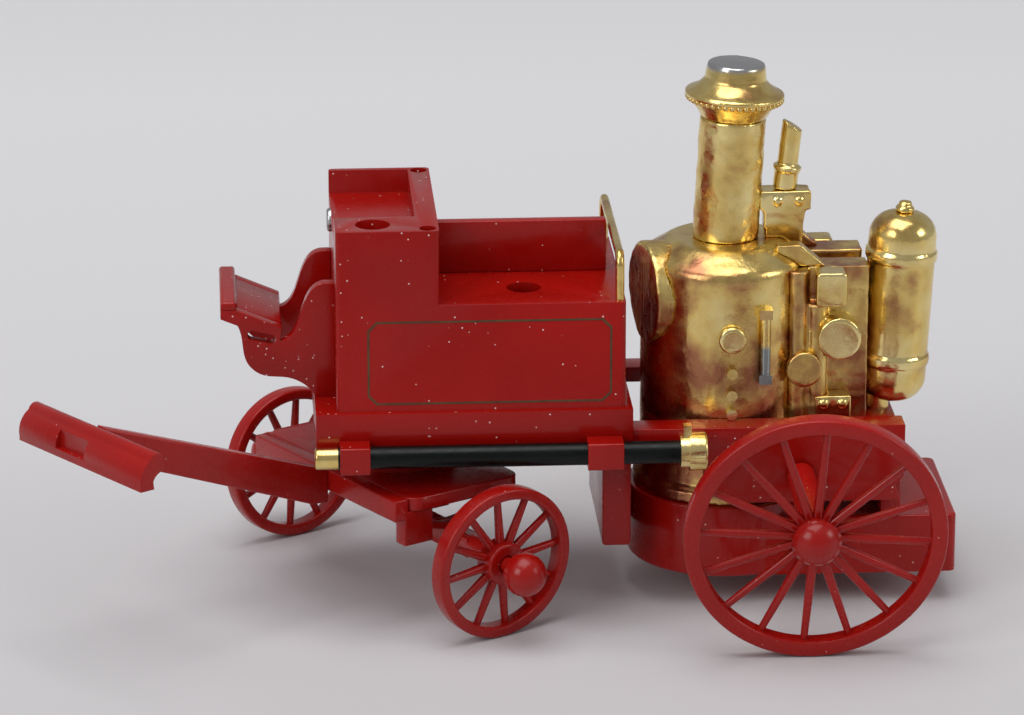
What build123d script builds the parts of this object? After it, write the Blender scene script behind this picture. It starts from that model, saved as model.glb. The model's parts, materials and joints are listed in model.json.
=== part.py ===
from build123d import *

import os
from math import cos, radians, sin, tan

# Small toy of a horse-drawn steam fire engine: red carriage, plated boiler and pump.

os.makedirs("parts", exist_ok=True)

# Frame: millimetres, +X towards the rear, +Y to the vehicle's right, +Z up.
# The origin is on the flat bottom of the underframe, straight below the rear axle.
# Heights are given above the ground that the wheels stand on.
pad_height = 3.3


def up(height):
    """Height above the ground, as a Z of this frame."""
    return height - pad_height


# running gear
wheelbase = 40.5
rear_wheel_radius = 13.1
rear_half_track = 24.9
front_half_track = 18.9
rear_camber = 8.0
front_camber = 3.0
rest_steer = 32.0
wheel_width = 1.9
rear_rim_depth = 1.6
front_rim_depth = 1.15
rear_spokes = 16
front_spokes = 12
hub_radius = 2.2
hub_length = 2.3
pin_radius = 0.8
pin_clearance = 0.06
end_gap = 0.3
rear_ball_radius = 2.6
front_ball_radius = 2.2
rear_ball_reach = 0.7
front_ball_reach = 4.1

# rails along both sides, which the body stands on
rail_top = 20.0

# boiler
boiler_x = -6.8
boiler_radius = 8.5
flange_radius = boiler_radius + 0.7
flange_height = 1.2
pan_radius = flange_radius + 0.5
pan_top = 10.8
boiler_bottom = pan_top
shoulder_height = 34.0
crown_height = 36.7
chimney_radius = 3.35
chimney_lean = 3.0
cap_height = 49.2
door_reach = boiler_radius + 0.15

# body, from ahead of the kingpin back to just clear of the boiler's door
body_width = 23.0
front_overhang = 6.1
door_clearance = 2.25
body_front = -(wheelbase + front_overhang)
body_rear = boiler_x - door_reach - door_clearance
skirt_bottom = rail_top - 1.1
skirt_top = skirt_bottom + 3.5
skirt_lip = 0.7
skirt_toe = 2.1
bench_height = skirt_top + 11.0
seat_height = bench_height + 7.7
seat_length = 10.3
seat_rail_width = 2.2
seat_well_depth = 2.4
ledge_width = 5.3
far_rim_width = 0.7
wall = 1.4
peg_radius = 1.75
seat_peg_x = body_front + 3.8
seat_peg_y = -(body_width - ledge_width) / 2
seat_peg_depth = 2.9
rail_peg_radius = 0.85
rail_peg_depth = 1.2
bench_peg_x = (body_front + seat_length + body_rear) / 2 - 0.6
bench_peg_y = body_width / 2 - 5.6
partition_height = 5.4
partition_thickness = 1.2

# chassis
floor_thickness = 1.0
side_frame_y = boiler_radius + 3.1
side_frame_thickness = 1.2
rail_width = 3.0
rail_thickness = 1.6
rail_bottom = rail_top - rail_thickness
platform_height = 9.4
platform_half_width = 9.0

# steam engine, pump and air vessel, one behind the other on the rails
engine_front = boiler_x + boiler_radius - 2.5
engine_length = 8.2
engine_rear = engine_front + engine_length
rail_rear = engine_rear + 3.1
vessel_radius = 3.45
vessel_gap = 0.35
vessel_x = engine_rear + vessel_gap + vessel_radius
vessel_y = -1.0
vessel_lean = 3.2
platform_rear = vessel_x + 5.1

# suction hose
hose_radius = 1.15
hose_drop = 0.6
hose_gap = 0.1
rear_coupling_radius = 1.95
coupling_gap = 0.05
hose_y = -max(
    body_width / 2 + skirt_lip + hose_radius + hose_gap,
    side_frame_y + rear_coupling_radius + coupling_gap,
)
hose_height = skirt_bottom - hose_drop

# the front wheels pass under the hose when the fore-carriage turns
wheel_clearance = 1.35
front_wheel_radius = (hose_height - hose_radius - wheel_clearance) / 2


def keep(part, name):
    """Label a finished piece and write it under the same name."""
    part.label = name
    export_step(part, f"parts/{name}.step")


# ---------------------------------------------------------------- body shell
body_length = body_rear - body_front
body_mid = (body_front + body_rear) / 2
seat_mid = body_front + seat_length / 2
well_back = body_front + seat_length - seat_rail_width
well_left = -body_width / 2 + ledge_width
well_right = body_width / 2 - far_rim_width

with BuildPart() as body_shell:
    with BuildSketch(Plane.XY.offset(up(skirt_top))):
        with Locations((body_mid, 0)):
            Rectangle(body_length, body_width)
    extrude(amount=bench_height - skirt_top)
    with BuildSketch(Plane.XY.offset(up(bench_height))):
        with Locations((seat_mid, 0)):
            Rectangle(seat_length, body_width)
    extrude(amount=seat_height - bench_height)
    fillet(body_shell.edges().filter_by(Axis.Z), 0.5)
    with BuildSketch(Plane.XY.offset(up(skirt_bottom))):
        with Locations(((body_front - skirt_toe + body_rear + skirt_lip) / 2, 0)):
            Rectangle(body_length + skirt_toe + skirt_lip, body_width + 2 * skirt_lip)
    extrude(amount=skirt_top - skirt_bottom)
    with BuildSketch(Plane.XY.offset(up(skirt_bottom))):
        with Locations((body_mid, 0)):
            Rectangle(body_length - 2 * wall, body_width - 2 * wall)
    extrude(amount=bench_height - wall - skirt_bottom, mode=Mode.SUBTRACT)
    with BuildSketch(Plane.XY.offset(up(bench_height - wall))):
        with Locations((seat_mid, 0)):
            Rectangle(seat_length - 2 * wall, body_width - 2 * wall)
    extrude(amount=seat_height - seat_well_depth - bench_height, mode=Mode.SUBTRACT)
    with BuildSketch(Plane.XY.offset(up(seat_height))):
        with Locations(((body_front + well_back) / 2, (well_left + well_right) / 2)):
            Rectangle(well_back - body_front, well_right - well_left)
    extrude(amount=-seat_well_depth, mode=Mode.SUBTRACT)
    with Locations(Plane.XY.offset(up(seat_height))):
        with Locations((seat_peg_x, seat_peg_y)):
            Hole(peg_radius, depth=seat_peg_depth)
        with Locations(
            (body_front + seat_length - seat_rail_width / 2, -body_width / 2 + seat_rail_width / 2),
            (body_front + seat_length - seat_rail_width / 2, body_width / 2 - seat_rail_width / 2),
        ):
            Hole(rail_peg_radius, depth=rail_peg_depth)
    with Locations(Plane.XY.offset(up(bench_height))):
        with Locations((bench_peg_x, -bench_peg_y), (bench_peg_x, bench_peg_y)):
            Hole(peg_radius, depth=2 * wall)
keep(body_shell.part, "body_shell")

# ---------------------------------------------------------------- bench and seat fittings
bench_front = body_front + seat_length
hoop_x = body_rear - 0.6
hoop_wire = 0.45
hoop_half_width = body_width / 2 - 0.9
hoop_height = 4.6

with BuildPart() as seat_partition:
    partition_end = hoop_x - hoop_wire - 0.15
    with BuildSketch(Plane.XY.offset(up(bench_height))):
        with Locations(((bench_front + partition_end) / 2, 0)):
            Rectangle(partition_end - bench_front, partition_thickness)
    extrude(amount=partition_height)
    fillet(seat_partition.edges().filter_by(Axis.Y).sort_by(Axis.X)[-1], 0.2)
keep(seat_partition.part, "seat_partition")

with BuildPart() as hand_rail:
    rail_foot = Plane(origin=(hoop_x, 0, up(bench_height)), x_dir=(0, 1, 0), z_dir=(1, 0, 0))
    with BuildLine(rail_foot):
        FilletPolyline(
            (-hoop_half_width, 0),
            (-hoop_half_width, hoop_height),
            (hoop_half_width, hoop_height),
            (hoop_half_width, 0),
            radius=1.2,
        )
    with BuildSketch(Plane(origin=(hoop_x, -hoop_half_width, up(bench_height)))):
        Circle(hoop_wire)
    sweep()
keep(hand_rail.part, "hand_rail")

rivet_radius = 1.2
rivet_reach = 0.45
rivet_y = 3.2
rivet_height = seat_height - 3.0
with BuildPart() as front_rivet:
    with BuildSketch(Plane(origin=(body_front, rivet_y, up(rivet_height)), z_dir=(-1, 0, 0))):
        Circle(rivet_radius)
    extrude(amount=rivet_reach)
    fillet(front_rivet.edges().sort_by(Axis.X)[0], 0.3)
keep(front_rivet.part, "front_rivet")

# ---------------------------------------------------------------- footboard and its brackets
# Drawn forwards from the body's front face, upwards from the top of its skirt.
bracket_inner_y = 5.0
bracket_thickness = 1.3
bracket_top = 11.9
board_reach = 11.4
board_root = 5.3
board_top_front = 9.2
board_top_rear = 7.3
board_thickness = 1.2
toe_width = 1.6
toe_rise = 0.9
slot_length = 2.9
slot_width = 0.95


def forward_plane(y):
    """Upright plane along the vehicle: local x runs forwards, local y up."""
    return Plane(origin=(body_front, y, up(skirt_top)), x_dir=(-1, 0, 0), z_dir=(0, 1, 0))


for side, end in ((-1, "left"), (1, "right")):
    with BuildPart() as bracket:
        with BuildSketch(forward_plane(side * bracket_inner_y)):
            with BuildLine():
                Line((0, 0), (skirt_toe - 0.1, 0))
                Spline(
                    (skirt_toe - 0.1, 0),
                    (3.2, 1.4),
                    (4.9, 2.1),
                    (7.3, 2.4),
                    (8.8, 3.7),
                    (9.3, 6.2),
                    (9.7, 7.6),
                )
                Line((9.7, 7.6), (board_reach, board_top_front - 0.9))
                Line((board_reach, board_top_front - 0.9), (board_reach, board_top_front))
                Line((board_reach, board_top_front), (board_reach - toe_width, board_top_front))
                Line((board_reach - toe_width, board_top_front), (board_root, board_top_rear))
                Line((board_root, board_top_rear), (5.5, 5.9))
                Spline(
                    (5.5, 5.9),
                    (4.6, 6.3),
                    (3.7, 7.8),
                    (3.0, 9.9),
                    (2.1, 11.4),
                    (1.0, bracket_top),
                )
                Line((1.0, bracket_top), (0, bracket_top))
                Line((0, bracket_top), (0, 0))
            make_face()
            with Locations(Location((7.3, 6.35), 14)):
                SlotOverall(slot_length, slot_width, mode=Mode.SUBTRACT)
        extrude(amount=side * bracket_thickness)
    keep(bracket.part, f"footboard_bracket_{end}")

with BuildPart() as footboard:
    with BuildSketch(forward_plane(-bracket_inner_y)):
        Polygon(
            (board_reach, board_top_front),
            (board_reach - toe_width, board_top_front),
            (board_root, board_top_rear),
            (board_root, board_top_rear - board_thickness),
            (board_reach - toe_width, board_top_front - board_thickness),
            (board_reach, board_top_front - board_thickness),
            align=None,
        )
    extrude(amount=2 * bracket_inner_y)
    toe_x = body_front - board_reach + toe_width / 2
    with BuildSketch(Plane(origin=(toe_x, 0, up(skirt_top + board_top_front)))):
        Rectangle(toe_width, 2 * (bracket_inner_y + bracket_thickness))
    extrude(amount=toe_rise)
    fillet(footboard.faces().sort_by(Axis.Z)[-1].edges(), 0.35)
keep(footboard.part, "footboard")

# ---------------------------------------------------------------- chassis
kingpin_radius = 1.2
kingpin_head_radius = 2.0
turntable_radius = 6.5
plate_thickness = 1.4
turntable_gap = 0.3
chassis_bottom = skirt_bottom - floor_thickness
turntable_split = chassis_bottom - 2.2
plate_bottom = turntable_split - 2.9
chassis_half_width = body_width / 2 - 1.5

with BuildPart() as chassis_floor:
    floor_front = body_front + wall / 2
    with BuildSketch(Plane.XY.offset(up(chassis_bottom))):
        with Locations(((floor_front + body_rear) / 2, 0)):
            Rectangle(body_rear - floor_front, 2 * chassis_half_width)
        with Locations((-wheelbase, 0)):
            Circle(kingpin_radius, mode=Mode.SUBTRACT)
    extrude(amount=floor_thickness)
keep(chassis_floor.part, "chassis_floor")

with BuildPart() as upper_turntable:
    with BuildSketch(Plane(origin=(-wheelbase, 0, up(turntable_split + turntable_gap)))):
        Circle(turntable_radius)
        Circle(kingpin_radius, mode=Mode.SUBTRACT)
    extrude(amount=chassis_bottom - turntable_split - turntable_gap)
keep(upper_turntable.part, "upper_turntable")

with BuildPart() as kingpin:
    pin_foot = up(plate_bottom - turntable_gap)
    with BuildSketch(Plane(origin=(-wheelbase, 0, pin_foot))):
        Circle(kingpin_radius)
    extrude(amount=up(skirt_bottom) - pin_foot)
    with BuildSketch(Plane(origin=(-wheelbase, 0, pin_foot))):
        Circle(kingpin_head_radius)
    extrude(amount=-0.9)
    fillet(kingpin.edges().sort_by(Axis.Z)[0], 0.5)
keep(kingpin.part, "kingpin")


def wheel_height(radius, camber):
    """Height of a cambered wheel's centre when the rim's lower edge touches the ground."""
    return radius * cos(radians(camber)) + wheel_width / 2 * sin(radians(camber))


def axle_plane(foot, half_track, camber, side, radius):
    """Plane of the wheel's middle: z_dir points outwards along the axle arm."""
    arm = Vector(0, side * cos(radians(camber)), -sin(radians(camber)))
    middle = Plane(
        origin=(0, side * half_track, up(wheel_height(radius, camber))),
        x_dir=(1, 0, 0),
        z_dir=arm,
    )
    return foot * middle.location


hub_face = hub_length / 2 + end_gap
rear_pin_end = hub_face + 0.9
rear_foot = Location((0, 0, 0))
rear_arm_radius = 1.4
web_outer_reach = (rear_half_track - side_frame_y) / cos(radians(rear_camber))
web_inner_reach = web_outer_reach + side_frame_thickness + 0.4
web_bottom = 12.0
web_front = boiler_x - 3.0

for side, end in ((-1, "left"), (1, "right")):
    middle = Plane(axle_plane(rear_foot, rear_half_track, rear_camber, side, rear_wheel_radius))
    with BuildPart() as stub_axle:
        with BuildSketch(middle.offset(-web_inner_reach)):
            Circle(pin_radius)
        extrude(amount=web_inner_reach + rear_pin_end)
        with BuildSketch(middle.offset(-web_outer_reach + 0.3)):
            Circle(rear_arm_radius)
        extrude(amount=web_outer_reach - 0.3 - hub_face)
    keep(stub_axle.part, f"rear_axle_{end}")
    with BuildPart() as side_frame:
        with BuildSketch(Plane.XY.offset(up(rail_top))):
            rail_front = body_rear + skirt_lip
            with Locations(((rail_front + rail_rear) / 2, side * (side_frame_y - rail_width / 2))):
                Rectangle(rail_rear - rail_front, rail_width)
        extrude(amount=-rail_thickness)
        web_plane = Plane(origin=(0, side * side_frame_y, 0), x_dir=(1, 0, 0), z_dir=(0, -1, 0))
        with BuildSketch(web_plane):
            Polygon(
                (web_front, up(rail_top - rail_thickness)),
                (rail_rear, up(rail_top - rail_thickness)),
                (rail_rear, up(web_bottom + 2.6)),
                (rail_rear - 0.9, up(web_bottom + 1.6)),
                (rail_rear - 0.4, up(web_bottom)),
                (web_front + 2.5, up(web_bottom)),
                (web_front, up(web_bottom + 1.5)),
                align=None,
            )
        extrude(amount=side * side_frame_thickness)
        add(stub_axle.part, mode=Mode.SUBTRACT)
    keep(side_frame.part, f"side_frame_{end}")

hanger_thickness = 2.9
hanger_gap = 0.4
hanger_rear = boiler_x - pan_radius - hanger_gap
hanger_bottom = 6.8
hanger_half_width = chassis_half_width - 1.0
with BuildPart() as front_hanger:
    with BuildSketch(Plane.XY.offset(up(hanger_bottom))):
        with Locations((hanger_rear - hanger_thickness / 2, 0)):
            Rectangle(hanger_thickness, 2 * hanger_half_width)
    extrude(amount=chassis_bottom - hanger_bottom)
    fillet(front_hanger.edges().filter_by(Axis.Y).group_by(Axis.Z)[0], 0.4)
keep(front_hanger.part, "front_hanger")

with BuildPart() as ash_pan:
    with BuildSketch(Plane(origin=(boiler_x, 0, up(pad_height)))):
        Circle(pan_radius)
    extrude(amount=pan_top - pad_height)
    fillet(ash_pan.edges().sort_by(Axis.Z)[0], 0.5)
keep(ash_pan.part, "ash_pan")

with BuildPart() as rear_platform:
    with BuildSketch(Plane.XY):
        with Locations(((boiler_x + platform_rear) / 2, 0)):
            Rectangle(platform_rear - boiler_x, 2 * platform_half_width)
    extrude(amount=up(platform_height))
    fillet(rear_platform.edges().filter_by(Axis.Z).group_by(Axis.X)[-1], 0.8)
    fillet(rear_platform.faces().sort_by(Axis.Z)[-1].edges().sort_by(Axis.X)[-1], 0.3)
    add(ash_pan.part, mode=Mode.SUBTRACT)
keep(rear_platform.part, "rear_platform")

crossmember_width = 2.0
bedplate_bottom = rail_bottom - 1.6
rail_inner_y = side_frame_y - rail_width
with BuildPart() as rear_crossmember:
    with BuildSketch(Plane.XY.offset(up(platform_height))):
        with Locations((rail_rear - crossmember_width / 2, 0)):
            Rectangle(crossmember_width, 2 * platform_half_width)
    extrude(amount=bedplate_bottom - platform_height)
keep(rear_crossmember.part, "rear_crossmember")

# ---------------------------------------------------------------- boiler
with BuildPart() as boiler_barrel:
    with BuildSketch(Plane(origin=(boiler_x, 0, 0), x_dir=(1, 0, 0), z_dir=(0, -1, 0))):
        with BuildLine():
            crown_radius = chimney_radius + 0.6
            Polyline(
                (0, up(crown_height)),
                (0, up(boiler_bottom)),
                (flange_radius, up(boiler_bottom)),
                (flange_radius, up(boiler_bottom + flange_height)),
                (boiler_radius, up(boiler_bottom + flange_height + 0.5)),
                (boiler_radius, up(shoulder_height)),
            )
            Spline(
                (boiler_radius, up(shoulder_height)),
                (boiler_radius - 1.4, up(crown_height - 0.9)),
                (crown_radius + 1.8, up(crown_height - 0.1)),
                (crown_radius, up(crown_height)),
                tangents=((0, 1), (-1, 0)),
            )
            Line((crown_radius, up(crown_height)), (0, up(crown_height)))
        make_face()
    revolve(axis=Axis((boiler_x, 0, 0), (0, 0, 1)))
keep(boiler_barrel.part, "boiler_barrel")

door_radius = 5.2
door_height = shoulder_height - 2.6
door_turn = 12.0
door_root = boiler_radius - 2.6
door_direction = Vector(-cos(radians(door_turn)), -sin(radians(door_turn)), 0)
door_plane = Plane(origin=Vector(boiler_x, 0, up(door_height)), x_dir=(0, 0, 1), z_dir=door_direction)
with BuildPart() as firehole_door:
    with BuildSketch(door_plane.offset(door_root)):
        Circle(door_radius)
    extrude(amount=door_reach - door_root)
    fillet(firehole_door.edges().sort_by(Axis((boiler_x, 0, 0), door_direction))[-1], 0.3)
    add(boiler_barrel.part, mode=Mode.SUBTRACT)
keep(firehole_door.part, "firehole_door")

chimney_foot = crown_height - 0.7
lean = Vector(sin(radians(chimney_lean)), 0, cos(radians(chimney_lean)))
chimney_plane = Plane(origin=(boiler_x, 0, up(chimney_foot)), x_dir=(0, 1, 0), z_dir=lean)
chimney_length = cap_height - chimney_foot
with BuildPart() as chimney:
    with BuildSketch(chimney_plane):
        Circle(chimney_radius)
    extrude(amount=chimney_length)
    add(boiler_barrel.part, mode=Mode.SUBTRACT)
keep(chimney.part, "chimney")

cap_rim_radius = chimney_radius + 1.6
cap_lip = cap_rim_radius - 0.1
cap_root = chimney_radius - 0.1
cap_top_radius = chimney_radius - 0.25
with BuildPart() as chimney_cap:
    cap_plane = chimney_plane.offset(chimney_length)
    across = (cos(radians(chimney_lean)), 0, -sin(radians(chimney_lean)))
    with BuildSketch(Plane(origin=cap_plane.origin, x_dir=across, z_dir=(0, -1, 0))):
        with BuildLine():
            Polyline((cap_root, 0), (0, 0), (0, 5.8), (2.8, 5.65), (2.95, 5.35), (cap_top_radius, 4.3))
            Line((cap_top_radius, 4.3), (cap_top_radius, 4.0))
            ThreePointArc((cap_top_radius, 4.0), (3.75, 3.3), (cap_lip, 2.7))
            ThreePointArc((cap_lip, 2.7), (cap_rim_radius + 0.1, 2.4), (cap_lip, 2.1))
            ThreePointArc((cap_lip, 2.1), (3.9, 1.0), (cap_root, 0))
        make_face()
    revolve(axis=Axis(cap_plane.origin, lean))
keep(chimney_cap.part, "chimney_cap")

fitting_y = -boiler_radius
boss_radius = 1.4
boss_height = rail_top + 8.4
boss_reach = 1.0
with BuildPart() as boiler_boss:
    with BuildSketch(Plane(origin=(boiler_x, fitting_y + 0.4, up(boss_height)), z_dir=(0, -1, 0))):
        Circle(boss_radius)
    extrude(amount=boss_reach + 0.4)
    fillet(boiler_boss.edges().sort_by(Axis.Y)[0], 0.25)
    add(boiler_barrel.part, mode=Mode.SUBTRACT)
keep(boiler_boss.part, "boiler_boss")

cock_radius = 0.55
cock_heights = (rail_top + 4.9, rail_top + 2.6, rail_top + cock_radius + 0.05)
with BuildPart() as try_cocks:
    for cock_height in cock_heights:
        with BuildSketch(Plane(origin=(boiler_x, fitting_y + 0.3, up(cock_height)), z_dir=(0, -1, 0))):
            Circle(cock_radius)
        extrude(amount=1.2)
    add(boiler_barrel.part, mode=Mode.SUBTRACT)
keep(try_cocks.part, "try_cocks")

gauge_x = boiler_x + 3.4
gauge_y = -(boiler_radius - 0.1)
gauge_bottom = rail_top + 3.6
gauge_top = rail_top + 11.4
gauge_glass_radius = 0.5
gauge_fitting = (1.3, 2.2, 1.0)
with BuildPart() as gauge_glass:
    with BuildSketch(Plane(origin=(gauge_x, gauge_y, up(gauge_bottom)))):
        Circle(gauge_glass_radius)
    extrude(amount=gauge_top - gauge_bottom)
    for fitting_height in (gauge_bottom, gauge_top - gauge_fitting[2]):
        with BuildSketch(Plane(origin=(gauge_x, gauge_y + 0.6, up(fitting_height)))):
            Rectangle(gauge_fitting[0], gauge_fitting[1])
        extrude(amount=gauge_fitting[2])
    add(boiler_barrel.part, mode=Mode.SUBTRACT)
keep(gauge_glass.part, "gauge_glass")

# ---------------------------------------------------------------- steam engine and pump
engine_half_width = 4.6
engine_top = rail_bottom + 16.2
with BuildPart() as pump_bedplate:
    with BuildSketch(Plane.XY.offset(up(bedplate_bottom))):
        with Locations(((engine_front + rail_rear) / 2, 0)):
            Rectangle(rail_rear - engine_front, 2 * rail_inner_y)
    extrude(amount=rail_bottom - bedplate_bottom)
    add(boiler_barrel.part, mode=Mode.SUBTRACT)
keep(pump_bedplate.part, "pump_bedplate")

column_xs = (engine_front + 0.9, engine_front + 2.9)
column_tops = (engine_top, engine_top - 3.5)
column_radius = 1.05
column_y = engine_half_width + 1.0
valley_width = 2.4
valley_depth = 2.0
with BuildPart() as engine_frame:
    with BuildSketch(Plane.XY.offset(up(rail_bottom))):
        with Locations(((engine_front + engine_rear) / 2, 0)):
            Rectangle(engine_rear - engine_front, 2 * engine_half_width)
    extrude(amount=engine_top - rail_bottom)
    for column_x, column_top in zip(column_xs, column_tops):
        with BuildSketch(Plane.XY.offset(up(rail_bottom))):
            with Locations((column_x, 0)):
                SlotCenterToCenter(2 * column_y, 2 * column_radius, rotation=90)
        extrude(amount=column_top - rail_bottom)
    with BuildSketch(Plane.XY.offset(up(engine_top))):
        with Locations(((engine_front + engine_rear) / 2, 0)):
            Rectangle(engine_length + 2 * column_radius, valley_width)
    extrude(amount=-valley_depth, mode=Mode.SUBTRACT)
    add(boiler_barrel.part, mode=Mode.SUBTRACT)
keep(engine_frame.part, "engine_frame")

chest_bottom = rail_bottom + 12.7
chest_top = rail_bottom + 16.3
chest_front = engine_front + 2.6
chest_rear = chest_front + 3.1
barrel_x = engine_front + 5.0
barrel_height = rail_bottom + 9.4
barrel_radius = 2.2
branch_x = engine_front + 1.5
branch_height = rail_bottom + 6.1
branch_radius = 1.85
valve_box_front = engine_front + 2.65
valve_box_rear = valve_box_front + 3.7
valve_box_top = rail_bottom + 3.2
chest_reach = 2.8
barrel_offset = 0.9
barrel_flange_reach = 1.9
barrel_reach = 3.0
branch_reach = 2.7
valve_box_reach = 2.3
steam_pipe_width = 1.8
bolt_radius = 0.35
bolt_reach = 0.3
left_face = Plane(origin=(0, -engine_half_width, 0), x_dir=(1, 0, 0), z_dir=(0, -1, 0))
right_face = Plane(origin=(0, engine_half_width, 0), x_dir=(1, 0, 0), z_dir=(0, -1, 0))
for face, outward, end in ((left_face, 1, "left"), (right_face, -1, "right")):
    with BuildPart() as steam_chest:
        with BuildSketch(face):
            with Locations(((chest_front + chest_rear) / 2, up((chest_bottom + chest_top) / 2))):
                RectangleRounded(chest_rear - chest_front, chest_top - chest_bottom, 0.5)
        extrude(amount=outward * chest_reach)
        add(engine_frame.part, mode=Mode.SUBTRACT)
    keep(steam_chest.part, f"steam_chest_{end}")
    with BuildPart() as pump_barrel:
        with BuildSketch(face):
            with Locations((barrel_x - barrel_offset, up(barrel_height))):
                Circle(barrel_radius)
        extrude(amount=outward * barrel_flange_reach)
        with BuildSketch(face):
            with Locations((barrel_x, up(barrel_height))):
                Circle(barrel_radius)
        extrude(amount=outward * barrel_reach)
        add(engine_frame.part, mode=Mode.SUBTRACT)
    keep(pump_barrel.part, f"pump_barrel_{end}")

with BuildPart() as suction_branches:
    for face, outward in ((left_face, 1), (right_face, -1)):
        with BuildSketch(face):
            with Locations((branch_x, up(branch_height))):
                Circle(branch_radius)
        extrude(amount=outward * branch_reach)
    add(engine_frame.part, mode=Mode.SUBTRACT)
    add(boiler_barrel.part, mode=Mode.SUBTRACT)
keep(suction_branches.part, "suction_branches")

with BuildPart() as valve_boxes:
    for face, outward in ((left_face, 1), (right_face, -1)):
        with BuildSketch(face):
            with Locations(((valve_box_front + valve_box_rear) / 2, up((rail_bottom + valve_box_top) / 2))):
                Rectangle(valve_box_rear - valve_box_front, valve_box_top - rail_bottom)
        extrude(amount=outward * valve_box_reach)
        with BuildSketch(face.offset(outward * valve_box_reach)):
            bolt_xs = (valve_box_front + 0.9, valve_box_rear - 0.9)
            with Locations([(bolt_x, up(valve_box_top - 0.8)) for bolt_x in bolt_xs]):
                Circle(bolt_radius)
        extrude(amount=outward * bolt_reach)
    add(engine_frame.part, mode=Mode.SUBTRACT)
keep(valve_boxes.part, "valve_boxes")

with BuildPart() as steam_pipes:
    for face, outward in ((left_face, 1), (right_face, -1)):
        with BuildSketch(face):
            Polygon(
                (engine_front - 1.2, up(engine_top)),
                (engine_front - 1.2, up(engine_top + 2.2)),
                (engine_front + 1.2, up(engine_top + 2.3)),
                (engine_front + 3.9, up(engine_top)),
                align=None,
            )
        extrude(amount=-outward * steam_pipe_width)
    add(boiler_barrel.part, mode=Mode.SUBTRACT)
keep(steam_pipes.part, "steam_pipes")

taper_top = engine_top + 5.0
block_x = boiler_x + chimney_radius + 2.65
block_foot = engine_top + 0.4
block_top = taper_top + 2.0
block_length = 5.2
block_depth = 2.6
block_taper = 4.0
foot_length = 3.6
with BuildPart() as valve_block:
    with BuildSketch(Plane(origin=(block_x - 0.1, 0, up(block_foot)))):
        Rectangle(foot_length, block_depth - 0.6)
    extrude(amount=taper_top - block_foot, taper=-block_taper)
    with BuildSketch(Plane(origin=(block_x, 0, up(taper_top)))):
        Rectangle(block_length, block_depth)
    extrude(amount=block_top - taper_top)
    fillet(valve_block.faces().sort_by(Axis.Z)[-1].edges(), 0.25)
    block_face = (block_x, -block_depth / 2, up((taper_top + block_top) / 2))
    block_side = Plane(origin=block_face, x_dir=(1, 0, 0), z_dir=(0, -1, 0))
    with BuildSketch(block_side):
        with Locations((-0.8, 0), (1.4, 0)):
            Circle(bolt_radius)
    extrude(amount=bolt_reach)
    add(boiler_barrel.part, mode=Mode.SUBTRACT)
    add(chimney.part, mode=Mode.SUBTRACT)
keep(valve_block.part, "valve_block")

pipe_lean = 6.0
mouth_slant = 32.0
exhaust_radius = 1.05
exhaust_length = 7.4
sleeve_radius = 1.25
sleeve_length = 2.0
collar_radius = 1.45
collar_length = 0.45
exhaust_plane = Plane(
    origin=(block_x, 0, up(block_top)),
    x_dir=(0, 1, 0),
    z_dir=(sin(radians(pipe_lean)), 0, cos(radians(pipe_lean))),
)
with BuildPart() as exhaust_pipe:
    with BuildSketch(exhaust_plane):
        Circle(exhaust_radius)
    extrude(amount=exhaust_length)
    with BuildSketch(exhaust_plane):
        Circle(sleeve_radius)
    extrude(amount=sleeve_length)
    with BuildSketch(exhaust_plane.offset(sleeve_length)):
        Circle(collar_radius)
    extrude(amount=collar_length)
    slant = Plane(
        origin=(block_x + 0.8, 0, up(block_top + 6.6)),
        x_dir=(0, 1, 0),
        z_dir=(sin(radians(mouth_slant)), 0, cos(radians(mouth_slant))),
    )
    split(bisect_by=slant, keep=Keep.BOTTOM)
    add(valve_block.part, mode=Mode.SUBTRACT)
keep(exhaust_pipe.part, "exhaust_pipe")

vessel_bottom = rail_bottom + 1.0
vessel_top = vessel_bottom + 19.8
vessel_axis = Vector(sin(radians(vessel_lean)), 0, cos(radians(vessel_lean)))
vessel_foot = Vector(vessel_x - 0.95, vessel_y, up(vessel_bottom))
vessel_length = (vessel_top - vessel_bottom) / cos(radians(vessel_lean))
band_reaches = (4.1, 15.0)
band_width = 0.9
band_rise = 0.22
with BuildPart() as air_vessel:
    with BuildSketch(Plane(origin=vessel_foot, x_dir=(0, 1, 0), z_dir=vessel_axis)):
        Circle(vessel_radius)
    extrude(amount=vessel_length)
    fillet(air_vessel.edges().filter_by(GeomType.CIRCLE), vessel_radius - 0.9)
    for band_reach in band_reaches:
        band_plane = Plane(origin=vessel_foot + vessel_axis * band_reach, x_dir=(0, 1, 0), z_dir=vessel_axis)
        with BuildSketch(band_plane):
            Circle(vessel_radius + band_rise)
        extrude(amount=band_width)
    add(engine_frame.part, mode=Mode.SUBTRACT)
keep(air_vessel.part, "air_vessel")

with BuildPart() as vessel_finial:
    finial_foot = vessel_foot + vessel_axis * vessel_length
    finial_plane = Plane(origin=finial_foot, x_dir=(0, 1, 0), z_dir=vessel_axis)
    with BuildSketch(finial_plane):
        Circle(1.0)
    extrude(amount=0.5)
    with BuildSketch(finial_plane.offset(0.5)):
        RegularPolygon(0.75, 6)
    extrude(amount=0.6)
keep(vessel_finial.part, "vessel_finial")

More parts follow.
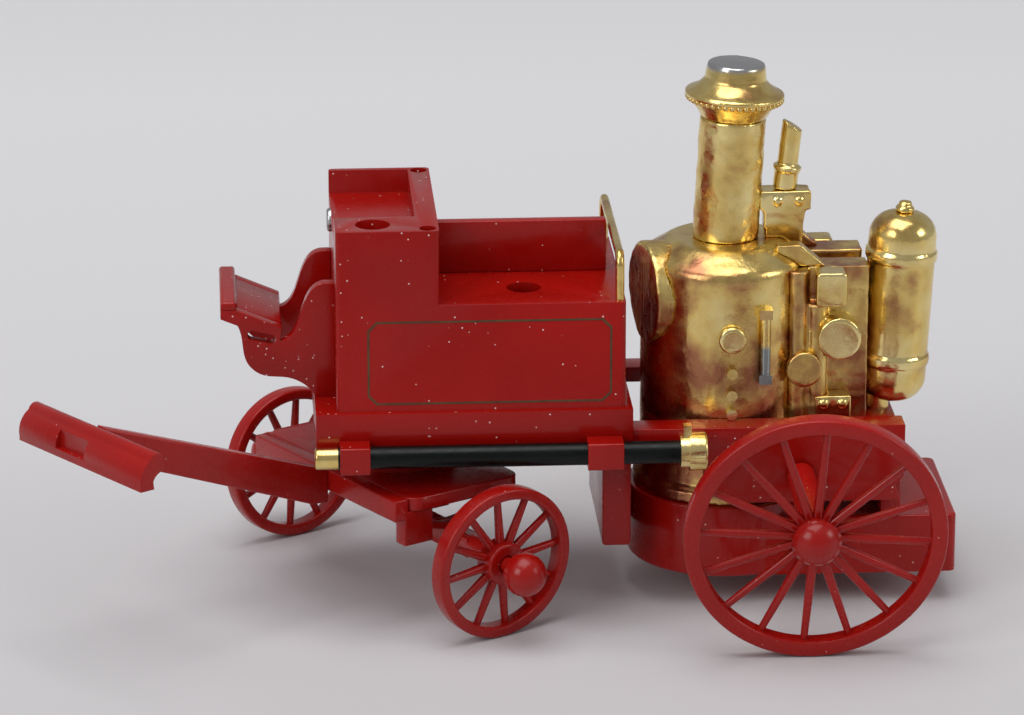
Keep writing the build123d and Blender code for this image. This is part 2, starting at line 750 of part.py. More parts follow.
bend_radius = 1.3
bend_x = engine_rear + bend_radius + 0.1
bend_rise = 2.6
pipe_radius = 0.55
pipe_height = engine_top - valley_depth - pipe_radius - 0.2
with BuildPart() as delivery_bend:
    with BuildSketch(Plane(origin=(bend_x, vessel_y, up(rail_bottom)))):
        Circle(bend_radius)
    extrude(amount=bend_rise)
    with BuildSketch(Plane(origin=(engine_rear, vessel_y, up(pipe_height)), z_dir=(1, 0, 0))):
        Circle(pipe_radius)
    extrude(amount=vessel_x - engine_rear)
    add(air_vessel.part, mode=Mode.SUBTRACT)
keep(delivery_bend.part, "delivery_bend")

# ---------------------------------------------------------------- suction hose along the left side
hose_body_front = body_front
hose_body_rear = body_rear + 5.3
hose_front = hose_body_front - 2.3
coupling_rear = hose_body_rear + 2.7
front_coupling_radius = 1.1
clip_spans = ((body_front + 0.2, body_front + 3.2), (body_rear - 4.0, body_rear - 0.4))
clip_reach = 0.25
clip_arm = 2 * hose_drop
hose_section = Plane(origin=(0, hose_y, up(hose_height)), x_dir=(0, 1, 0), z_dir=(1, 0, 0))
with BuildPart() as suction_hose:
    with BuildSketch(hose_section.offset(hose_body_front)):
        Circle(hose_radius)
    extrude(amount=hose_body_rear - hose_body_front)
keep(suction_hose.part, "suction_hose")

with BuildPart() as hose_coupling_front:
    with BuildSketch(hose_section.offset(hose_front)):
        Circle(front_coupling_radius)
    extrude(amount=hose_body_front - hose_front)
    fillet(hose_coupling_front.edges().sort_by(Axis.X)[0], 0.25)
keep(hose_coupling_front.part, "hose_coupling_front")

with BuildPart() as hose_coupling_rear:
    with BuildSketch(hose_section.offset(hose_body_rear)):
        Circle(rear_coupling_radius - 0.3)
    extrude(amount=0.9)
    with BuildSketch(hose_section.offset(hose_body_rear + 0.9)):
        Circle(rear_coupling_radius)
    extrude(amount=coupling_rear - hose_body_rear - 0.9)
    fillet(hose_coupling_rear.edges().filter_by(GeomType.CIRCLE).sort_by(Axis.X)[-1], 0.3)
    with BuildSketch(Plane(origin=(hose_body_rear + 0.7, hose_y, up(hose_height)))):
        Rectangle(0.8, 1.0)
    extrude(amount=rear_coupling_radius + 0.9)
keep(hose_coupling_rear.part, "hose_coupling_rear")

with BuildPart() as hose_clips:
    for clip_front, clip_rear in clip_spans:
        clip_height = 2 * (hose_radius + clip_reach)
        with BuildSketch(hose_section.offset(clip_front)):
            RectangleRounded(clip_height, clip_height, clip_reach)
            with Locations(((-hose_y - chassis_half_width) / 2, 0)):
                Rectangle(-hose_y - chassis_half_width, clip_arm)
            Circle(hose_radius, mode=Mode.SUBTRACT)
        extrude(amount=clip_rear - clip_front)
    add(body_shell.part, mode=Mode.SUBTRACT)
    add(chassis_floor.part, mode=Mode.SUBTRACT)
keep(hose_clips.part, "hose_clips")

# ---------------------------------------------------------------- fore-carriage, turned about the kingpin
# Its own frame lies at the kingpin on the ground, with x rearwards along the pole and y to the right.
fore_foot = Location((-wheelbase, 0, 0), (0, 0, rest_steer))
fore = Plane(fore_foot)


def fore_level(height):
    """Plane of the fore-carriage at a height above the ground."""
    return fore.offset(up(height))


plate_front = -7.0
plate_rear = 6.6
plate_half_width = 13.2
plate_corner = 1.5
with BuildPart() as fore_plate:
    with BuildSketch(fore_level(plate_bottom)):
        with Locations(((plate_front + plate_rear) / 2, 0)):
            Rectangle(plate_rear - plate_front, 2 * plate_half_width)
        fillet(vertices(), plate_corner)
        Circle(kingpin_radius + pin_clearance, mode=Mode.SUBTRACT)
    extrude(amount=plate_thickness)
keep(fore_plate.part, "fore_plate")

with BuildPart() as lower_turntable:
    with BuildSketch(fore_level(plate_bottom + plate_thickness)):
        Circle(turntable_radius)
        Circle(kingpin_radius + pin_clearance, mode=Mode.SUBTRACT)
    extrude(amount=turntable_split - plate_bottom - plate_thickness)
keep(lower_turntable.part, "lower_turntable")

bar_width = 1.6
bar_half_length = 12.8
post_width = 1.7
post_length = 3.4
post_front = plate_front - 0.4
post_bottom = plate_bottom - 3.6
splinter_bottom = plate_bottom - 0.8
with BuildPart() as splinter_bar:
    bar_middle = plate_front - bar_width / 2
    with BuildSketch(fore_level(splinter_bottom)):
        with Locations((bar_middle, 0)):
            Rectangle(bar_width, 2 * bar_half_length)
    extrude(amount=plate_bottom + plate_thickness - splinter_bottom)
    with BuildSketch(fore_level(post_bottom)):
        post_y = bar_half_length - post_width / 2
        post_middle = post_front + post_length / 2
        with Locations((post_middle, -post_y), (post_middle, post_y)):
            Rectangle(post_length, post_width)
    extrude(amount=plate_bottom - post_bottom)
keep(splinter_bar.part, "splinter_bar")

front_axle_height = wheel_height(front_wheel_radius, front_camber)
beam_half_length = 14.4
beam_size = 2.0
beam_height = front_axle_height + (front_half_track - beam_half_length) * tan(radians(front_camber))
front_arm_radius = 1.1
with BuildPart() as front_axle:
    with BuildSketch(fore_level(beam_height - beam_size / 2)):
        Rectangle(beam_size, 2 * beam_half_length)
    extrude(amount=beam_size)
    for side in (-1, 1):
        middle = Plane(axle_plane(fore_foot, front_half_track, front_camber, side, front_wheel_radius))
        arm_reach = (front_half_track - beam_half_length) / cos(radians(front_camber))
        with BuildSketch(middle.offset(-arm_reach - 0.5)):
            Circle(pin_radius)
        extrude(amount=arm_reach + 0.5 + front_ball_reach)
        with BuildSketch(middle.offset(-arm_reach - 0.5)):
            Circle(front_arm_radius)
        extrude(amount=arm_reach + 0.5 - hub_face)
keep(front_axle.part, "front_axle")

spring_inner_y = 9.4
spring_width = 1.5
spring_leaf = 0.8
spring_seat = beam_height + beam_size / 2
for side, end in ((-1, "left"), (1, "right")):
    leaf_plane = Plane(fore_foot * Location((0, side * spring_inner_y, 0), (90, 0, 0)))
    with BuildPart() as fore_spring:
        with BuildSketch(leaf_plane):
            with BuildLine():
                ThreePointArc(
                    (plate_front + 0.3, up(plate_bottom)),
                    (0, up(spring_seat)),
                    (plate_rear - 0.3, up(plate_bottom)),
                )
                Line((plate_rear - 0.3, up(plate_bottom)), (plate_rear - 1.6, up(plate_bottom)))
                ThreePointArc(
                    (plate_rear - 1.6, up(plate_bottom)),
                    (0, up(spring_seat + spring_leaf)),
                    (plate_front + 1.6, up(plate_bottom)),
                )
                Line((plate_front + 1.6, up(plate_bottom)), (plate_front + 0.3, up(plate_bottom)))
            make_face()
        extrude(amount=-side * spring_width)
    keep(fore_spring.part, f"fore_spring_{end}")

bolster_half_length = 5.0
bolster_half_width = 3.4
with BuildPart() as axle_bolster:
    with BuildSketch(fore_level(beam_height + beam_size / 2)):
        Rectangle(2 * bolster_half_width, 2 * bolster_half_length)
        Circle(kingpin_head_radius + 0.4, mode=Mode.SUBTRACT)
    extrude(amount=plate_bottom - beam_height - beam_size / 2)
keep(axle_bolster.part, "axle_bolster")

pole_width = 1.7
pole_depth = 3.3
pole_rise = 0.366
pole_length = 26.1
pole_root_x = plate_front - bar_width
pole_root_top = plate_bottom + plate_thickness
pole_tip_x = pole_root_x - pole_length
pole_tip_top = pole_root_top + pole_rise * pole_length
pole_side = Plane(fore_foot * Location((0, pole_width / 2, 0), (90, 0, 0)))
with BuildPart() as draught_pole:
    with BuildSketch(pole_side):
        Polygon(
            (pole_root_x, up(pole_root_top)),
            (pole_tip_x, up(pole_tip_top)),
            (pole_tip_x, up(pole_tip_top - pole_depth)),
            (pole_root_x - 2.0, up(pole_root_top - pole_depth)),
            (pole_root_x, up(pole_root_top - pole_depth - 0.2)),
            align=None,
        )
    extrude(amount=pole_width)
keep(draught_pole.part, "draught_pole")

yoke_half_length = 10.3
yoke_turn = 4.0
yoke_depth = 2.8
yoke_height = 3.6
yoke_wall = 1.0
lip_height = 0.8
recess_depth = 0.7
recess_length = 4.8
recess_offset = 1.6
yoke_back = pole_width / 2 * tan(radians(yoke_turn))
yoke_top = pole_tip_top + 0.1
yoke_foot = fore_foot * Location((pole_tip_x, 0, 0), (0, 0, yoke_turn))
yoke_side = Plane(yoke_foot * Location((0, yoke_half_length, 0), (90, 0, 0)))
with BuildPart() as pole_yoke:
    with BuildSketch(yoke_side):
        with BuildLine():
            front_x = yoke_back - yoke_depth
            foot_z = up(yoke_top - yoke_height)
            Line((yoke_back, up(yoke_top - 1.9)), (yoke_back, up(yoke_top - 0.5)))
            ThreePointArc(
                (yoke_back, up(yoke_top - 0.5)),
                (yoke_back - 0.8, up(yoke_top)),
                (yoke_back - 1.6, up(yoke_top - 0.6)),
            )
            ThreePointArc(
                (yoke_back - 1.6, up(yoke_top - 0.6)),
                (front_x + 0.15, up(yoke_top - 1.8)),
                (front_x, foot_z + 0.5),
            )
            Line((front_x, foot_z + 0.5), (front_x, foot_z))
            Line((front_x, foot_z), (front_x + 1.6, foot_z))
            Line((front_x + 1.6, foot_z), (front_x + 1.5, foot_z + 0.8))
            ThreePointArc(
                (front_x + 1.5, foot_z + 0.8),
                (front_x + 1.85, up(yoke_top - 2.3)),
                (yoke_back, up(yoke_top - 1.9)),
            )
        make_face()
    extrude(amount=2 * yoke_half_length)
    with BuildSketch(Plane(yoke_foot).offset(up(yoke_top - yoke_height + lip_height))):
        with Locations((yoke_back - yoke_depth, recess_offset)):
            Rectangle(2 * recess_depth, recess_length)
    extrude(amount=yoke_height - lip_height - yoke_wall, mode=Mode.SUBTRACT)
    add(draught_pole.part, mode=Mode.SUBTRACT)
keep(pole_yoke.part, "pole_yoke")


# ---------------------------------------------------------------- wheels and axle balls
def spoked_wheel(middle, radius, rim_depth, spoke_count, spoke_root, spoke_tip):
    """Artillery wheel about the axis of its middle plane, bored to run on the axle pin."""
    with BuildPart() as wheel:
        with BuildSketch(middle.offset(-wheel_width / 2)):
            Circle(radius)
            Circle(radius - rim_depth, mode=Mode.SUBTRACT)
        extrude(amount=wheel_width)
        chamfer(wheel.edges().filter_by(GeomType.CIRCLE).group_by(SortBy.RADIUS)[-1], 0.15)
        with BuildSketch(middle.offset(-hub_length / 2)):
            Circle(hub_radius)
        extrude(amount=hub_length)
        spoke_start = hub_radius - 0.3
        spoke_length = radius - rim_depth + 0.2 - spoke_start
        with Locations(middle.location):
            with PolarLocations(spoke_start + spoke_length / 2, spoke_count):
                Cone(spoke_root, spoke_tip, spoke_length, rotation=(0, 90, 0))
        with BuildSketch(middle.offset(-hub_length)):
            Circle(pin_radius + pin_clearance)
        extrude(amount=2 * hub_length, mode=Mode.SUBTRACT)
    return wheel.part


rear_balls = []
front_balls = []
for side, end in ((-1, "left"), (1, "right")):
    middle = Plane(axle_plane(rear_foot, rear_half_track, rear_camber, side, rear_wheel_radius))
    rear_balls.append(middle)
    wheel = spoked_wheel(middle, rear_wheel_radius, rear_rim_depth, rear_spokes, 0.5, 0.38)
    keep(wheel, f"rear_wheel_{end}")
    middle = Plane(axle_plane(fore_foot, front_half_track, front_camber, side, front_wheel_radius))
    front_balls.append(middle)
    wheel = spoked_wheel(middle, front_wheel_radius, front_rim_depth, front_spokes, 0.48, 0.4)
    keep(wheel, f"front_wheel_{end}")

# Round caps seated on the pins' ends, which hold the wheels.
with BuildPart() as rear_axle_balls:
    for middle in rear_balls:
        with Locations(middle.offset(rear_ball_reach).location):
            Sphere(rear_ball_radius)
        with BuildSketch(middle.offset(hub_face)):
            Circle(rear_ball_radius + 1)
        extrude(amount=-2 * rear_ball_radius, mode=Mode.SUBTRACT)
        with BuildSketch(middle):
            Circle(pin_radius)
        extrude(amount=rear_pin_end, mode=Mode.SUBTRACT)
keep(rear_axle_balls.part, "rear_axle_balls")

with BuildPart() as front_axle_balls:
    for middle in front_balls:
        with Locations(middle.offset(front_ball_reach).location):
            Sphere(front_ball_radius)
    add(front_axle.part, mode=Mode.SUBTRACT)
keep(front_axle_balls.part, "front_axle_balls")
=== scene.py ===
import json
from math import asin, cos, pi, radians, sin

import bmesh
import bpy
from mathutils import Matrix, Vector, noise


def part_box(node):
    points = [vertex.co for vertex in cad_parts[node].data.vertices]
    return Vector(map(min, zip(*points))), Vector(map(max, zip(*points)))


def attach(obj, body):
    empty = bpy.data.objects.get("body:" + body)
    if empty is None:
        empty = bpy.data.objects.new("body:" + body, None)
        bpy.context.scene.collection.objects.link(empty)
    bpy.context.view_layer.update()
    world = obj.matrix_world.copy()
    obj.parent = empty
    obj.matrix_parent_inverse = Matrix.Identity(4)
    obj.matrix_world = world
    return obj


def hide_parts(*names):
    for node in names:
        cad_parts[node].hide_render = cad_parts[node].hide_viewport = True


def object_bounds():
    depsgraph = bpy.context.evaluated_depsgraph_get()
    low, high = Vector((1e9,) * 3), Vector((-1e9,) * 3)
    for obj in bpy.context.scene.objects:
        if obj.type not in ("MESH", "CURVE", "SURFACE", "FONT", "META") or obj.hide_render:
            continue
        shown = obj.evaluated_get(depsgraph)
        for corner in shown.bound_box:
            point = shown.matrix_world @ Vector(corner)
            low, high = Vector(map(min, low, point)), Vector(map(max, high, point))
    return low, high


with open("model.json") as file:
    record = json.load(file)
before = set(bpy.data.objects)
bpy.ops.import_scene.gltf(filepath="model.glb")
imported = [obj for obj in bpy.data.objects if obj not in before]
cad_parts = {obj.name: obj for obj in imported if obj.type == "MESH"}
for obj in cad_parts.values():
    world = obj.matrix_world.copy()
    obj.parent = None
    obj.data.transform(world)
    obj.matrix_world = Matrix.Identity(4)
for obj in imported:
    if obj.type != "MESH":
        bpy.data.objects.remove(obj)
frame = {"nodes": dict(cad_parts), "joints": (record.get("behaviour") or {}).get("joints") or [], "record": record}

mm = 0.001
mergeDistance = 0.001 * mm
sharpAbove = radians(40)
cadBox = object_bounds()
nodes = frame["nodes"]

# camera, floor and light

cameraLook = {
    "target": (-28.4 * mm, 0, 20.8 * mm),  # the point that the camera faces
    "distance": 560 * mm,
    "elevation": 18,  # degrees above the horizon
    "turn": 3.5,  # degrees round towards the front of the engine
    "lens": 193.4,
}
studio = {
    # the floor near the camera is painted darker: a painted shade standing in for the light falling off
    "floorShadedNear": (0.545, 0.530, 0.540),
    "floorFar": (0.800, 0.795, 0.810),
    "floorSize": 3.0,
    "floorNearY": -90 * mm,  # the floor's painted shade runs from here
    "floorFarY": 190 * mm,  # to here
    "floorRough": 0.55,
    "worldColour": (0.80, 0.80, 0.83),
    "worldStrength": 0.42,
    "lamps": [  # name, place, size, watts
        ("overhead", (-0.10, -0.10, 0.75), 0.60, 3.4),
        ("frontLeft", (-0.60, -0.50, 0.45), 0.40, 1.9),
        ("right", (0.60, -0.25, 0.35), 0.25, 0.9),
    ],
}


def setCamera(look):
    rise, turn = radians(look["elevation"]), radians(look["turn"])
    back = Vector((-sin(turn) * cos(rise), -cos(turn) * cos(rise), sin(rise)))
    data = bpy.data.cameras.new("camera")
    data.lens = look["lens"]
    data.clip_start = 0.01
    camera = bpy.data.objects.new("camera", data)
    camera.location = Vector(look["target"]) + back * look["distance"]
    camera.rotation_euler = (-back).to_track_quat("-Z", "Y").to_euler()
    bpy.context.scene.collection.objects.link(camera)
    bpy.context.scene.camera = camera


def addNode(tree, kind, inputs=None, **settings):
    made = tree.nodes.new(kind)
    for name, value in settings.items():
        setattr(made, name, value)
    for name, value in (inputs or {}).items():
        made.inputs[name].default_value = value
    return made


def newMaterial(name):
    material = bpy.data.materials.new(name)
    material.use_nodes = True
    tree = material.node_tree
    shader = next(n for n in tree.nodes if n.type == "BSDF_PRINCIPLED")
    place = addNode(tree, "ShaderNodeTexCoord")
    return material, tree, shader, place.outputs["Object"]


def grain(tree, place, scale, detail=3.0):
    made = addNode(tree, "ShaderNodeTexNoise", {"Scale": scale, "Detail": detail})
    tree.links.new(place, made.inputs["Vector"])
    return made.outputs["Fac"]


def ramp(tree, value, stops):
    made = addNode(tree, "ShaderNodeValToRGB")
    marks = made.color_ramp.elements
    while len(marks) < len(stops):
        marks.new(0.5)
    for mark, (position, colour) in zip(marks, stops):
        mark.position = position
        mark.color = (*colour, 1)
    tree.links.new(value, made.inputs["Fac"])
    return made.outputs["Color"]


def mapRange(tree, value, start, end, low, high):
    made = addNode(tree, "ShaderNodeMapRange", {
        "From Min": start, "From Max": end, "To Min": low, "To Max": high})
    tree.links.new(value, made.inputs["Value"])
    return made.outputs["Result"]


def spread(tree, value, low, high):
    # noise keeps mostly between 0.3 and 0.7
    return mapRange(tree, value, 0.3, 0.7, low, high)


def bumps(tree, shader, layers):
    below = None
    for height, strength, distance in layers:
        made = addNode(tree, "ShaderNodeBump", {"Strength": strength, "Distance": distance})
        tree.links.new(height, made.inputs["Height"])
        if below:
            tree.links.new(below, made.inputs["Normal"])
        below = made.outputs["Normal"]
    tree.links.new(below, shader.inputs["Normal"])


def axisValue(tree, place, axis, start, end, low, high):
    # a value that runs from low to high between two places along one axis of the model
    parts = addNode(tree, "ShaderNodeSeparateXYZ")
    tree.links.new(place, parts.inputs[0])
    return mapRange(tree, parts.outputs[axis], start, end, low, high)


def combine(tree, operation, first, second):
    made = addNode(tree, "ShaderNodeMath", operation=operation)
    tree.links.new(first, made.inputs[0])
    tree.links.new(second, made.inputs[1])
    return made.outputs[0]


def blend(tree, factor, colour, other):
    mix = addNode(tree, "ShaderNodeMix", data_type="RGBA")
    tree.links.new(factor, mix.inputs["Factor"])
    tree.links.new(colour, mix.inputs[6])
    mix.inputs[7].default_value = (*other, 1)
    return mix.outputs[2]


dustPatches = {
    "scale": 160, "spread": (-0.12, 0.14),  # where specks gather on any red piece
    "chance": (0.86, 0.89),  # the part of the cells that have a speck
    "frontStart": 1 * mm, "frontEnd": 7 * mm,  # extra specks, measured from the body's front
    "core": 0.6,  # the part of a speck that is fully light
}


def dust(tree, place, colour, look):
    # a speck in some of the cells, more of them at the front of the body
    cells = addNode(tree, "ShaderNodeTexVoronoi", {"Scale": look["dustScale"]})
    tree.links.new(place, cells.inputs["Vector"])
    size = look["dustSize"]
    core = size * dustPatches["core"]
    dots = ramp(tree, cells.outputs["Distance"], [(core, (1, 1, 1)), (size, (0, 0, 0))])
    chance = addNode(tree, "ShaderNodeSeparateColor")
    tree.links.new(cells.outputs["Color"], chance.inputs[0])
    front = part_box("body_shell")[0].x
    start, end = front + dustPatches["frontStart"], front + dustPatches["frontEnd"]
    nearFront = axisValue(tree, place, 0, start, end, look["frontDust"], 0)
    gathered = spread(tree, grain(tree, place, dustPatches["scale"]), *dustPatches["spread"])
    patches = combine(tree, "ADD", gathered, nearFront)
    never, always = dustPatches["chance"]
    chosen = combine(tree, "ADD", chance.outputs[0], patches)
    kept = ramp(tree, chosen, [(never, (0, 0, 0)), (always, (1, 1, 1))])
    return blend(tree, combine(tree, "MULTIPLY", dots, kept), colour, look["dustColour"])


redGrain = {
    "toneScale": 70, "roughScale": 900, "coatRough": 0.10,
    "bumpScale": 850, "bump": 0.16, "bumpDepth": 0.03 * mm,
    "fineScale": 3200, "fine": 0.12, "fineDepth": 0.008 * mm,
}
paintLook = {
    "deep": (0.270, 0.0030, 0.0012), "light": (0.350, 0.0045, 0.0020),
    "rough": (0.18, 0.30), "coat": 0.12, "specular": 0.26,
    "dustScale": 1500, "dustSize": 0.15, "dustColour": (0.80, 0.60, 0.56), "frontDust": 0.22,
}
plasticLook = {
    "deep": (0.290, 0.0040, 0.0022), "light": (0.370, 0.0060, 0.0035),
    "rough": (0.20, 0.34), "coat": 0.10, "specular": 0.30,
    "dustScale": 1400, "dustSize": 0.10, "dustColour": (0.80, 0.50, 0.46), "frontDust": 0.0,
}
platingLook = {
    # the brown stop is a painted reflection of the red carriage and painted shade; the random tone also reaches it
    "shadeBrown": (0.40, 0.17, 0.085), "gold": (0.76, 0.55, 0.18), "pale": (0.92, 0.77, 0.36),
    "rough": (0.15, 0.30), "shift": 0.0, "hammer": 0.30,
    "toneScale": 210, "roughScale": 600, "hammerScale": 1150, "hammerDepth": 0.09 * mm,
    "fineScale": 3600, "fine": 0.22, "fineDepth": 0.018 * mm,
    "lowZ": 8 * mm, "highZ": 26 * mm,  # the tone is darker below, a painted reflection of the red carriage and painted shade
}
barrelLook = {
    # the barrel is painted darker at its bottom and on its left side: painted shade
    **platingLook, "rough": (0.17, 0.34), "shift": -0.04, "hammer": 0.45, "low": -0.12, "left": -0.06,
}
# plating on pieces set back among others is shifted darker: a painted shade
recessShadeLook = {**platingLook, "rough": (0.22, 0.40), "shift": -0.13, "hammer": 0.55}
chimneyLook = {**platingLook, "rough": (0.20, 0.38), "shift": -0.01, "hammer": 0.70}


def redFinish(name, look):
    material, tree, shader, place = newMaterial(name)
    tone = grain(tree, place, redGrain["toneScale"], 2.0)
    colour = ramp(tree, tone, [(0.30, look["deep"]), (0.70, look["light"])])
    tree.links.new(dust(tree, place, colour, look), shader.inputs["Base Color"])
    rough = spread(tree, grain(tree, place, redGrain["roughScale"]), *look["rough"])
    tree.links.new(rough, shader.inputs["Roughness"])
    shader.inputs["Coat Weight"].default_value = look["coat"]
    shader.inputs["Specular IOR Level"].default_value = look["specular"]
    shader.inputs["Coat Roughness"].default_value = redGrain["coatRough"]
    bumps(tree, shader, [
        (grain(tree, place, redGrain["bumpScale"]), redGrain["bump"], redGrain["bumpDepth"]),
        (grain(tree, place, redGrain["fineScale"]), redGrain["fine"], redGrain["fineDepth"]),
    ])
    return material


def goldFinish(name, look):
    material, tree, shader, place = newMaterial(name)
    # painted reflection and shade: the plating turns browner towards the bottom, where it faces the red carriage
    shadeBelowTone = look["shift"] + look.get("low", 0)
    shadeBelow = axisValue(tree, place, 2, look["lowZ"], look["highZ"], shadeBelowTone, look["shift"])
    tone = combine(tree, "ADD", grain(tree, place, look["toneScale"], 6.0), shadeBelow)
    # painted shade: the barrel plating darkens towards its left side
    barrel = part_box("boiler_barrel")
    leftShade = axisValue(tree, place, 0, barrel[0].x, barrel[1].x, look.get("left", 0), 0)
    tone = combine(tree, "ADD", tone, leftShade)
    stops = [(0.27, look["shadeBrown"]), (0.44, look["gold"]), (0.66, look["pale"])]
    colour = ramp(tree, tone, stops)
    for axis, start, end, other in look.get("parts", ()):
        colour = blend(tree, axisValue(tree, place, axis, start, end, 0, 1), colour, other)
    tree.links.new(colour, shader.inputs["Base Color"])
    rough = spread(tree, grain(tree, place, look["roughScale"]), *look["rough"])
    tree.links.new(rough, shader.inputs["Roughness"])
    shader.inputs["Metallic"].default_value = 1.0
    bumps(tree, shader, [
        (grain(tree, place, look["hammerScale"]), look["hammer"], look["hammerDepth"]),
        (grain(tree, place, look["fineScale"]), look["fine"], look["fineDepth"]),
    ])
    return material


hoseLook = {
    "dark": (0.0010, 0.0014, 0.0013), "light": (0.0018, 0.0030, 0.0027), "toneScale": 300,
    "rough": (0.22, 0.40), "roughScale": 800, "bumpScale": 1500, "bump": 0.25, "bumpDepth": 0.03 * mm,
    "specular": 0.22,
}
steelLook = {
    "dark": (0.42, 0.42, 0.43), "light": (0.72, 0.72, 0.73), "toneScale": 900,
    "rough": (0.20, 0.42), "roughScale": 1400, "bumpScale": 2200, "bump": 0.2, "bumpDepth": 0.02 * mm,
    "metallic": 1.0,
}
lineLook = {
    "dark": (0.060, 0.028, 0.006), "light": (0.105, 0.055, 0.012), "toneScale": 900,
    "rough": (0.35, 0.55), "roughScale": 1500, "bumpScale": 3000, "bump": 0.2, "bumpDepth": 0.01 * mm,
}


def evenFinish(name, look):
    # one tone with a little grain, for the hose, the pins and the border
    material, tree, shader, place = newMaterial(name)
    stops = [(0.3, look["dark"]), (0.7, look["light"])]
    tree.links.new(ramp(tree, grain(tree, place, look["toneScale"]), stops), shader.inputs["Base Color"])
    rough = spread(tree, grain(tree, place, look["roughScale"]), *look["rough"])
    tree.links.new(rough, shader.inputs["Roughness"])
    if "specular" in look:
        shader.inputs["Specular IOR Level"].default_value = look["specular"]
    if "metallic" in look:
        shader.inputs["Metallic"].default_value = look["metallic"]
    bumps(tree, shader, [(grain(tree, place, look["bumpScale"]), look["bump"], look["bumpDepth"])])
    return material


finishes = {
    "red_paint": redFinish("carriagePaint", paintLook),
    "red_plastic": redFinish("wheelPlastic", plasticLook),
    "plated_gold": goldFinish("goldPlating", platingLook),
    "hose_black": evenFinish("hoseRubber", hoseLook),
    "bare_steel": evenFinish("pinSteel", steelLook),
}
borderFinish = evenFinish("olivePaintLine", lineLook)
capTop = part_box("chimney_cap")[1].z
gaugeLow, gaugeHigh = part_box("gauge_glass")
gaugeMiddle = (gaugeLow.z + gaugeHigh.z) / 2
greyParts = {  # a grey patch fades in between two heights
    "capStart": 0.75 * mm, "capEnd": 0.35 * mm, "capGrey": (0.50, 0.50, 0.50),
    "gaugeHalf": 0.3 * mm, "gaugeGrey": (0.30, 0.33, 0.33),
}
capLook = {**platingLook, "parts": [
    (2, capTop - greyParts["capStart"], capTop - greyParts["capEnd"], greyParts["capGrey"])]}
gaugeLook = {**platingLook, "parts": [
    (2, gaugeMiddle + greyParts["gaugeHalf"], gaugeMiddle - greyParts["gaugeHalf"], greyParts["gaugeGrey"])]}
platedFinishes = {
    "boiler_barrel": goldFinish("barrelPlating", barrelLook),
    "chimney": goldFinish("chimneyPlating", chimneyLook),
    "chimney_cap": goldFinish("capPlating", capLook),
    "gauge_glass": goldFinish("gaugePlating", gaugeLook),
}
# painted shade: the frame, suction branches, steam pipes and firehole door are plated darker
recessShadedPlating = goldFinish("recessShadedPlating", recessShadeLook)
for node in ("engine_frame", "suction_branches", "steam_pipes", "firehole_door"):
    platedFinishes[node] = recessShadedPlating
slotOf = {s["node"]: s["material_slot"] for s in frame["record"]["subparts"]}
bodyOf = {n: b for b, members in frame["record"]["behaviour"]["bodies"].items() for n in members}


def finishOf(node):
    return platedFinishes.get(node, finishes[slotOf[node]])


for name, obj in nodes.items():
    obj.data.materials.clear()
    obj.data.materials.append(finishOf(name))
print("finishes made:", len(finishes) + len(platedFinishes))


def addPiece(name, mesh, body, finish, replaced=()):
    piece = bpy.data.objects.new(name, mesh)
    bpy.context.scene.collection.objects.link(piece)
    mesh.materials.clear()
    mesh.materials.append(finish)
    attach(piece, body)
    if replaced:
        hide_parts(*replaced)
    return piece


def plainMesh(source, name):
    # the finished shape of an object with live modifiers, as a mesh of its own
    graph = bpy.context.evaluated_depsgraph_get()
    mesh = bpy.data.meshes.new_from_object(source.evaluated_get(graph), depsgraph=graph)
    mesh.name = name
    return mesh


def mergedCopy(node, flat=0.0):
    mesh = nodes[node].data.copy()
    work = bmesh.new()
    work.from_mesh(mesh)
    bmesh.ops.remove_doubles(work, verts=work.verts, dist=mergeDistance)
    if flat:
        bmesh.ops.dissolve_limit(work, angle_limit=flat, verts=work.verts, edges=work.edges)
    work.to_mesh(mesh)
    work.free()
    return mesh


def openEdges(mesh):
    work = bmesh.new()
    work.from_mesh(mesh)
    count = sum(1 for e in work.edges if not e.is_manifold)
    work.free()
    return count


# cast red pieces: the hard edges are rounded as paint and casting leave them

castEdges = {
    "width": 0.16 * mm, "segments": 3, "sharpest": radians(38),
    "flat": radians(0.5),
}
roundedNodes = [
    "body_shell", "seat_partition", "footboard_bracket_left", "footboard_bracket_right", "footboard",
    "chassis_floor", "side_frame_left", "side_frame_right", "front_hanger", "rear_platform",
    "rear_crossmember", "pump_bedplate", "fore_plate", "splinter_bar", "axle_bolster", "draught_pole",
    "pole_yoke", "hose_clips", "ash_pan", "front_axle", "fore_spring_left", "fore_spring_right",
]


def roundEdges(node, edges):
    mesh = mergedCopy(node, edges["flat"])
    source = bpy.data.objects.new("source", mesh)
    bpy.context.scene.collection.objects.link(source)
    bevel = source.modifiers.new("bevel", "BEVEL")
    bevel.width = edges["width"]
    bevel.segments = edges["segments"]
    bevel.limit_method = "ANGLE"
    bevel.angle_limit = edges["sharpest"]
    rounded = plainMesh(source, node + "_cast")
    bpy.data.objects.remove(source)
    rounded.shade_smooth()
    rounded.set_sharp_from_angle(angle=sharpAbove)
    loose = openEdges(rounded)
    if loose:
        print("open edges, so the plain node is kept:", node, loose)
        return
    addPiece(node + "_cast", rounded, bodyOf[node], finishes[slotOf[node]], [node])


for node in roundedNodes:
    roundEdges(node, castEdges)
print("cast pieces rounded:", len(roundedNodes))

# plated pieces: soft moulded edges and a slightly uneven skin

